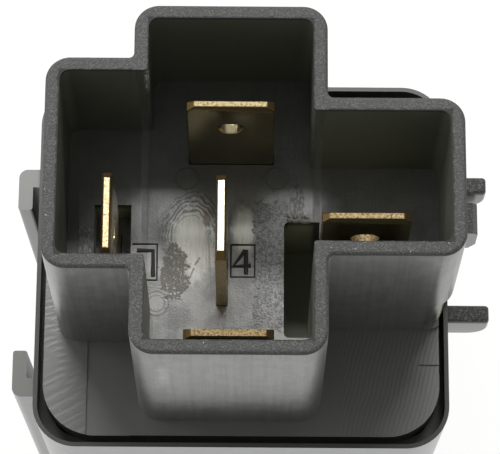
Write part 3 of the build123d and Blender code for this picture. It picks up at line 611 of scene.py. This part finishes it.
def make_base_plastic():
    """Black glass-filled moulding: grainy rim, satin walls, a polished floor and a scored plate."""
    material, tree, shader, place = finish_material("black moulded base plastic")
    z = axes(tree, place)[2]
    outside = outside_shroud(tree, place)
    facing_up = ramp(tree, facing(tree), 0.80, 0.97)
    on_outer = ramp(tree, outside, -0.85 * MM, -0.60 * MM)
    on_rim = ramp(tree, z, RIM - 0.42 * MM, RIM - 0.22 * MM)
    near_floor = ramp(tree, z, FLOOR + 0.1 * MM, FLOOR + 0.3 * MM, 1.0, 0.0)
    above_plate = ramp(tree, z, PLATE + 0.3 * MM, PLATE + 0.6 * MM)
    on_floor_face = times(tree, facing_up, near_floor, above_plate, without(tree, on_outer))
    on_plate = times(tree, facing_up, without(tree, above_plate), on_outer)

    finish = lay(tree, on_outer, inner_wall_finish(tree, place), **outer_wall_finish(tree, place))
    finish = lay(tree, on_rim, finish, **rim_finish(tree, place, outside))
    finish = lay(tree, on_floor_face, finish, **floor_finish(tree, place))
    finish = lay(tree, on_plate, finish, **plate_finish(tree, place))
    feed(tree, shader, Base_Color=finish["colour"], Roughness=finish["rough"], Coat_Weight=finish["skin"],
         Specular_IOR_Level=0.8, Coat_Roughness=0.42, Coat_IOR=1.75,
         Normal=bump(tree, finish["relief"], 0.9, 0.08 * MM))
    return material


# The case

def make_case_plastic():
    """Black case moulding: satin walls, matt rim, tops on the rails pale with painted light, and grainy ones
    on fins and lug.
    """
    material, tree, shader, place = finish_material("black moulded case plastic")
    x, up = axes(tree, place)[0], facing(tree)
    grain = use(tree, GRAIN, Place=place, Size=0.13 * MM)["Height"]
    broad = use(tree, GRAIN, Place=place, Size=1.3 * MM)
    lines = use(tree, STREAKS, Place=place, Spacing=0.5 * MM)["Lines"]
    finish = {"colour": mix(tree, broad["Mottle"], grey(0.012), grey(0.026, 0.01)),
              "rough": blend(tree, broad["Height"], 0.285, 0.385), "skin": 0.8,
              "relief": times(tree, lines, 0.12)}
    facing_up = ramp(tree, up, 0.6, 0.9)
    finish = lay(tree, facing_up, finish, colour=grey(0.022), rough=0.5, skin=0.1, relief=0.0)
    past_left = ramp(tree, x, -CASE_SIDE - 0.1 * MM, -CASE_SIDE, 1.0, 0.0)
    # Painted light: the rails' upward faces past the left side get a paler colour
    rail_tops_painted_light = times(tree, ramp(tree, up, 0.2, 0.5), past_left)
    finish = lay(tree, rail_tops_painted_light, finish, colour=grey(0.075, 0.01), rough=0.45, skin=1.0)
    on_fins = times(tree, facing_up, ramp(tree, x, CASE_SIDE, CASE_SIDE + 0.1 * MM))
    salted = mix(tree, ramp(tree, grain, 0.5, 0.68), grey(0.008), grey(0.075))
    finish = lay(tree, on_fins, finish, colour=salted, rough=0.7, skin=0.0, relief=grain)
    feed(tree, shader, Base_Color=finish["colour"], Roughness=finish["rough"], Coat_Weight=finish["skin"],
         Coat_Roughness=0.28, Coat_IOR=1.6, Normal=bump(tree, finish["relief"], 0.8, 0.07 * MM))
    return material


# Metals and the pieces inside

def make_blade_brass(name, tip_rough, tip_grain, tip_low, tip_high, rough_hole=False, face_painted_shade=0.0):
    """Stamped brass: faces bright or darkened by painted shade, eased edges in a painted dark shade, and a
    sheared tip with its own grain.
    """
    material, tree, shader, place = finish_material(name)
    z, up = axes(tree, place)[2], facing(tree)
    grain = use(tree, GRAIN, Place=place, Size=0.16 * MM)["Height"]
    broad = use(tree, GRAIN, Place=place, Size=1.0 * MM)["Height"]
    lines = use(tree, STREAKS, Place=place, Spacing=0.2 * MM, Stretch=(1.0, 1.0, 0.1))["Lines"]
    rolled = mix(tree, broad, (0.42, 0.345, 0.205, 1.0), (0.55, 0.455, 0.275, 1.0))
    # Painted shade: faces darkened towards a dark brown by the given share, on the back blade
    finish = {"colour": mix(tree, face_painted_shade, rolled, (0.05, 0.045, 0.03, 1.0)),
              "rough": blend(tree, lines, 0.20, 0.26), "relief": times(tree, lines, 0.08)}
    near_tip = ramp(tree, z, RIM - 2.4 * MM, RIM - 2.2 * MM)
    # Painted shade: the eased edges by the tip get a dark brown colour
    eased = times(tree, near_tip, ramp(tree, up, 0.15, 0.30))
    finish = lay(tree, eased, finish, colour=(0.10, 0.065, 0.028, 1.0), rough=0.5)
    sheared = times(tree, ramp(tree, up, 0.90, 0.97), near_tip)
    if rough_hole:
        sheared = largest(tree, sheared, times(tree, ramp(tree, up, 0.35, 0.8), without(tree, near_tip)))
    bright = ramp(tree, grain, 0.5 - 0.30 * tip_grain, 0.5 + 0.14 * tip_grain)
    finish = lay(tree, sheared, finish, colour=mix(tree, bright, (*tip_low, 1.0), (*tip_high, 1.0)),
                 rough=tip_rough, relief=times(tree, grain, tip_grain))
    feed(tree, shader, Base_Color=finish["colour"], Roughness=finish["rough"], Metallic=1.0,
         Normal=bump(tree, finish["relief"], 0.8, 0.08 * MM))
    return material


def make_grained(name, low, high, roughness, grain_size=0.2 * MM, relief=0.3, metallic=1.0):
    """A finish between two tones, with a fine rolled, stamped or moulded grain."""
    material, tree, shader, place = finish_material(name)
    grain = use(tree, GRAIN, Place=place, Size=grain_size)["Height"]
    tones = use(tree, STREAKS, Place=place, Spacing=grain_size * 2, Stretch=(1.0, 1.0, 1.0))["Lines"]
    feed(tree, shader, Base_Color=mix(tree, tones, (*low, 1.0), (*high, 1.0)), Metallic=metallic,
         Roughness=blend(tree, grain, roughness, roughness + 0.15),
         Normal=bump(tree, grain, relief, 0.04 * MM))
    return material


def make_coil_copper():
    """Enamelled wire, wound round the bobbin in close turns."""
    wire = 0.14 * MM
    material, tree, shader, place = finish_material("enamelled winding wire")
    turns = maths(tree, "PINGPONG", times(tree, axes(tree, place)[2], 1 / wire), 1.0)
    grain = use(tree, GRAIN, Place=place, Size=0.5 * MM)["Height"]
    feed(tree, shader, Base_Color=mix(tree, turns, (0.25, 0.07, 0.02, 1.0), (0.62, 0.24, 0.08, 1.0)),
         Roughness=blend(tree, grain, 0.28, 0.38), Normal=bump(tree, turns, 0.6, 0.05 * MM), Metallic=0.8)
    return material


MATERIALS = {
    "base_plastic": make_base_plastic(),
    # Painted shade: the moulded figures get a darker colour than the floor they stand on, so that they read
    # as dark strokes
    "figure_plastic_painted_shade": make_grained("black plastic of the moulded figures", (0.006, 0.006, 0.005),
                                   (0.014, 0.014, 0.012), 0.70, metallic=0.0),
    "flash_plastic": make_grained("torn flash", (0.02, 0.02, 0.018), (0.22, 0.22, 0.20), 0.55,
                                  grain_size=0.08 * MM, relief=0.8, metallic=0.0),
    "case_plastic": make_case_plastic(),
    "plated_steel": make_grained("zinc-plated steel", (0.55, 0.55, 0.52), (0.70, 0.70, 0.68), 0.32),
    "bobbin_plastic": make_grained("moulded bobbin plastic", (0.05, 0.05, 0.05), (0.09, 0.09, 0.085), 0.45,
                                   metallic=0.0),
    "enamelled_copper": make_coil_copper(),
    "rivet_copper": make_grained("rivet copper", (0.70, 0.32, 0.20), (0.85, 0.45, 0.30), 0.30),
    "spring_bronze": make_grained("spring bronze", (0.66, 0.42, 0.24), (0.80, 0.55, 0.33), 0.28),
    "contact_silver": make_grained("contact silver", (0.75, 0.74, 0.70), (0.90, 0.89, 0.86), 0.28),
    "resistor_coat": make_grained("resistor lacquer", (0.35, 0.24, 0.13), (0.46, 0.33, 0.20), 0.40,
                                  metallic=0.0),
    "tinned_wire": make_grained("tinned wire", (0.62, 0.62, 0.60), (0.78, 0.78, 0.76), 0.28),
}
# The tips' tones differ from blade to blade, partly by their grain and roughness, partly by painted shade
# that darkens the back, right and front tips
BLADES = {
    "terminal_centre": make_blade_brass("brass, polished tip", 0.36, 0.2, (0.85, 0.72, 0.48),
                                        (0.98, 0.92, 0.76)),
    "terminal_left": make_blade_brass("brass, lightly grained tip", 0.50, 0.8, (0.25, 0.165, 0.065),
                                      (0.60, 0.48, 0.29)),
    "terminal_back": make_blade_brass("brass, worn tip", 0.60, 0.7, (0.13, 0.092, 0.042), (0.32, 0.265, 0.15),
                                      face_painted_shade=0.55),
    "terminal_right": make_blade_brass("brass, grained tip", 0.62, 1.0, (0.055, 0.038, 0.016),
                                       (0.30, 0.225, 0.125), rough_hole=True),
    "terminal_front": make_blade_brass("brass, dull sheared tip", 0.70, 1.1, (0.045, 0.030, 0.012),
                                       (0.28, 0.205, 0.112)),
}


# Mouldings and blades, dressed over their CAD nodes

SAME_POINT = 0.002 * MM
FLAT = math.radians(0.5)        # faces that meet at less than this are one
SHARP = math.radians(32.0)      # edges that turn by more than this stay sharp
HOLE_DROP = 4.9 * MM            # from a blade's tip to the middle of its detent hole
HOLE_REACH = 1.35 * MM          # what moves with the hole
HOLE_RISE = 0.85 * MM
FRONT_TO_BACK = ("terminal_left", "terminal_centre")    # blades that are wide along y
EASED_EDGES = dict.fromkeys(BLADES, 0.09 * MM) | {"terminal_back": 0.17 * MM}


def dress(node, edge=0.0):
    """A merged, smooth-shaded copy of a CAD node that stands for it, with its sharp edges eased."""
    source = frame["nodes"][node]
    mesh = source.data.copy()
    mesh.name = node + "_skin"
    if "custom_normal" in mesh.attributes:
        mesh.attributes.remove(mesh.attributes["custom_normal"])
    work = bmesh.new()
    work.from_mesh(mesh)
    bmesh.ops.remove_doubles(work, verts=work.verts, dist=SAME_POINT)
    bmesh.ops.dissolve_limit(work, angle_limit=FLAT, verts=work.verts, edges=work.edges)
    for face in work.faces:
        face.smooth = True
    for one in work.edges:
        one.smooth = len(one.link_faces) == 2 and one.calc_face_angle(0.0) < SHARP
    work.to_mesh(mesh)
    work.free()
    piece = bpy.data.objects.new(node + "_skin", mesh)
    bpy.context.scene.collection.objects.link(piece)
    if edge:
        eased = piece.modifiers.new("eased edges", "BEVEL")
        eased.width = edge
        eased.segments = 2
        eased.limit_method = "ANGLE"
        eased.angle_limit = SHARP
        eased.harden_normals = True
    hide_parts(node)
    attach(piece, source["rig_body"])
    return piece


def raise_hole(piece, node):
    """The blade's detent hole, moved up towards its tip."""
    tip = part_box(node)[1].z
    along = 1 if node in FRONT_TO_BACK else 0
    tip_corners = [v.co[along] for v in piece.data.vertices if v.co.z > tip - 0.5 * MM]
    middle = sum(tip_corners) / len(tip_corners)
    for vertex in piece.data.vertices:
        if math.hypot(vertex.co[along] - middle, tip - vertex.co.z - HOLE_DROP) < HOLE_REACH:
            vertex.co.z += HOLE_RISE


def clad(piece, material):
    piece.data.materials.clear()
    piece.data.materials.append(material)


FINISHES = {
    "case_plastic": ("case",),
    "base_plastic": ("base",),
    "blade_brass": tuple(BLADES),
    "plated_steel": ("yoke", "core", "armature"),
    "bobbin_plastic": ("bobbin",),
    "enamelled_copper": ("coil_winding", "coil_lead_left", "coil_lead_right"),
    "rivet_copper": ("common_rivet", "spring_rivets", "armature_rivets"),
    "spring_bronze": ("contact_spring",),
    "contact_silver": ("moving_contact", "closed_contact", "open_contact"),
    "resistor_coat": ("resistor_body",),
    "tinned_wire": ("resistor_leads",),
}
for node, thing in frame["nodes"].items():
    slot = next(slot for slot, nodes in FINISHES.items() if node in nodes)
    if node in BLADES:
        blade = dress(node, EASED_EDGES[node])
        raise_hole(blade, node)
        clad(blade, BLADES[node])
    elif node in ("case", "base"):
        clad(dress(node), MATERIALS[slot])
    else:
        thing.data.materials.clear()
        thing.data.materials.append(MATERIALS[slot])


# Figures and flash moulded on the shroud's floor

def make_bead(name, strokes, width, height, material="figure_plastic_painted_shade"):
    """Half-round beads on the floor, one along each stroke; places and sizes in millimetres."""
    curve = bpy.data.curves.new(name, "CURVE")
    curve.dimensions = "3D"
    curve.bevel_depth = width / 2 * MM
    curve.bevel_resolution = 3
    curve.use_fill_caps = True
    for stroke in strokes:
        line = curve.splines.new("POLY")
        line.points.add(len(stroke) - 1)
        for point, (x, y) in zip(line.points, stroke):
            point.co = (*on_floor(x, y), 1.0)
    drawn = bpy.data.objects.new(name + "_line", curve)
    bpy.context.scene.collection.objects.link(drawn)
    mesh = bpy.data.meshes.new_from_object(drawn.evaluated_get(bpy.context.evaluated_depsgraph_get()))
    bpy.data.objects.remove(drawn)
    bpy.data.curves.remove(curve)
    for vertex in mesh.vertices:
        vertex.co.z = FLOOR + (vertex.co.z - FLOOR) * 2 * height / width
    for face in mesh.polygons:
        face.use_smooth = True
    piece = bpy.data.objects.new(name, mesh)
    bpy.context.scene.collection.objects.link(piece)
    clad(piece, MATERIALS[material])
    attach(piece, frame["nodes"]["base"]["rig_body"])


FRAME_BEAD = {"width": 0.17, "height": 0.06}
NUMBER_BEAD = {"width": 0.34, "height": 0.11}
FLASH_BEAD = {"width": 0.42, "height": 0.24}
make_bead("centre_number_frame", [[(0.04, 11.85), (1.81, 11.85), (1.81, 9.35), (0.04, 9.35), (0.04, 11.85)]],
          **FRAME_BEAD)
make_bead("centre_number", [[(1.10, 11.42), (0.22, 10.17), (1.53, 10.24)], [(1.15, 11.45), (1.17, 9.58)]],
          **NUMBER_BEAD)
make_bead("left_number_frame", [[(-7.30, 11.87), (-5.44, 11.87), (-5.44, 9.07), (-7.30, 9.07)]], **FRAME_BEAD)
make_bead("left_number", [[(-6.95, 11.36), (-5.75, 11.36), (-5.72, 9.35)]], **NUMBER_BEAD)
make_bead("pocket_flash", [
    [(4.28, 13.70), (4.50, 13.82), (4.78, 13.70), (5.10, 13.80), (5.42, 13.68), (5.95, 13.74)],
    [(4.30, 14.02), (4.40, 14.10)],
    [(4.72, 13.98), (4.90, 14.12)],
    [(5.18, 14.02), (5.34, 13.98)],
    [(5.58, 13.96), (5.72, 14.06)]], material="flash_plastic", **FLASH_BEAD)


# Stage, light and camera

WHITE = (1.0, 1.0, 1.0, 1.0)
FLOOR_REACH = 1.2
FLOOR_DROP = 0.1 * MM                   # below the case's closed end
SIDE_LIGHT, OVERHEAD_LIGHT = 0.78, 0.36     # the world's strength round the relay, and dim above it
DIM_FROM, DIM_TO = math.radians(38.0), math.radians(28.0)   # from the vertical, where it gets dim
KEY_AIM = Vector((0.0, 0.0, 0.04))      # what the back softbox is turned to
KEY_TILT, KEY_AWAY = math.radians(37.6), 0.60   # the back softbox's tilt from the vertical, and its distance
PHOTO_WIDTH, FOCAL_LENGTH = 500.0, 2632.13      # in the photo's pixels
SENSOR_WIDTH = 36.0
CAMERA_PLACE = Vector((0.466, -60.902, 220.398)) * MM
CAMERA_HEADING, CAMERA_TILT, CAMERA_ROLL = (math.radians(turn) for turn in (-0.116, 18.349, 0.498))


def make_floor():
    """A pale floor that looks white from the camera and in reflections, and keeps the relay's shadow."""
    material = bpy.data.materials.new("pale studio floor")
    material.use_nodes = True
    tree = material.node_tree
    tree.nodes.clear()
    light_path = add(tree, "ShaderNodeLightPath").outputs
    seen = largest(tree, light_path["Is Camera Ray"], light_path["Is Glossy Ray"],
                   light_path["Is Transmission Ray"])
    matt = add(tree, "ShaderNodeBsdfDiffuse", {"Color": (0.80, 0.79, 0.77, 1.0)})
    bright = add(tree, "ShaderNodeEmission", {"Color": WHITE, "Strength": 1.0})
    surface = add(tree, "ShaderNodeMixShader", {0: times(tree, seen, 0.9), 1: matt.outputs[0],
                                                2: bright.outputs[0]})
    out = add(tree, "ShaderNodeOutputMaterial")
    tree.links.new(surface.outputs[0], out.inputs[0])
    mesh = bpy.data.meshes.new("studio_floor")
    corners = [(-FLOOR_REACH, -FLOOR_REACH, 0), (FLOOR_REACH, -FLOOR_REACH, 0), (FLOOR_REACH, FLOOR_REACH, 0),
               (-FLOOR_REACH, FLOOR_REACH, 0)]
    mesh.from_pydata(corners, [], [(0, 1, 2, 3)])
    mesh.materials.append(material)
    floor = bpy.data.objects.new("studio_floor", mesh)
    floor.location.z = -FLOOR_DROP
    bpy.context.scene.collection.objects.link(floor)


def make_world():
    """Soft light from all sides, dimmer overhead, and a white background for the camera."""
    world = bpy.data.worlds.new("studio")
    bpy.context.scene.world = world
    world.use_nodes = True
    tree = world.node_tree
    background = tree.nodes["Background"]
    seen = add(tree, "ShaderNodeLightPath").outputs["Is Camera Ray"]
    up = axes(tree, add(tree, "ShaderNodeTexCoord").outputs["Generated"])[2]
    overhead = ramp(tree, up, math.cos(DIM_FROM), math.cos(DIM_TO))
    soft = blend(tree, overhead, SIDE_LIGHT, OVERHEAD_LIGHT)
    tree.links.new(blend(tree, seen, soft, 1.0), background.inputs["Strength"])
    tree.links.new(mix(tree, seen, (0.97, 1.0, 0.92, 1.0), WHITE), background.inputs["Color"])


def add_softbox(name, centre, aim, width, height, power):
    data = bpy.data.lights.new(name, "AREA")
    data.shape = "RECTANGLE"
    data.size, data.size_y = width, height
    data.energy = power
    lamp = bpy.data.objects.new(name, data)
    lamp.location = centre
    lamp.rotation_euler = (Vector(aim) - Vector(centre)).to_track_quat("-Z", "Y").to_euler()
    bpy.context.scene.collection.objects.link(lamp)


def make_camera():
    """The photo's camera, as it was fitted to the blades and the rims."""
    data = bpy.data.cameras.new("camera")
    data.sensor_fit = "HORIZONTAL"
    data.sensor_width = SENSOR_WIDTH
    data.lens = SENSOR_WIDTH * FOCAL_LENGTH / PHOTO_WIDTH
    data.clip_start, data.clip_end = 0.005, 20.0
    camera = bpy.data.objects.new("camera", data)
    turn = (Matrix.Rotation(CAMERA_HEADING, 3, "Z") @ Matrix.Rotation(CAMERA_TILT, 3, "X")
            @ Matrix.Rotation(CAMERA_ROLL, 3, "Z"))
    camera.matrix_world = Matrix.Translation(CAMERA_PLACE) @ turn.to_4x4()
    bpy.context.scene.collection.objects.link(camera)
    bpy.context.scene.camera = camera


make_floor()
make_world()
key_centre = KEY_AIM + Vector((0.0, math.sin(KEY_TILT), math.cos(KEY_TILT))) * KEY_AWAY
add_softbox("back softbox", key_centre, KEY_AIM, width=0.54, height=0.052, power=5.2)
add_softbox("left softbox", (-0.55, 0.10, 0.35), (0.0, 0.0, 0.03), width=0.35, height=0.35, power=2.4)
make_camera()
bpy.context.scene.view_settings.view_transform = "Standard"
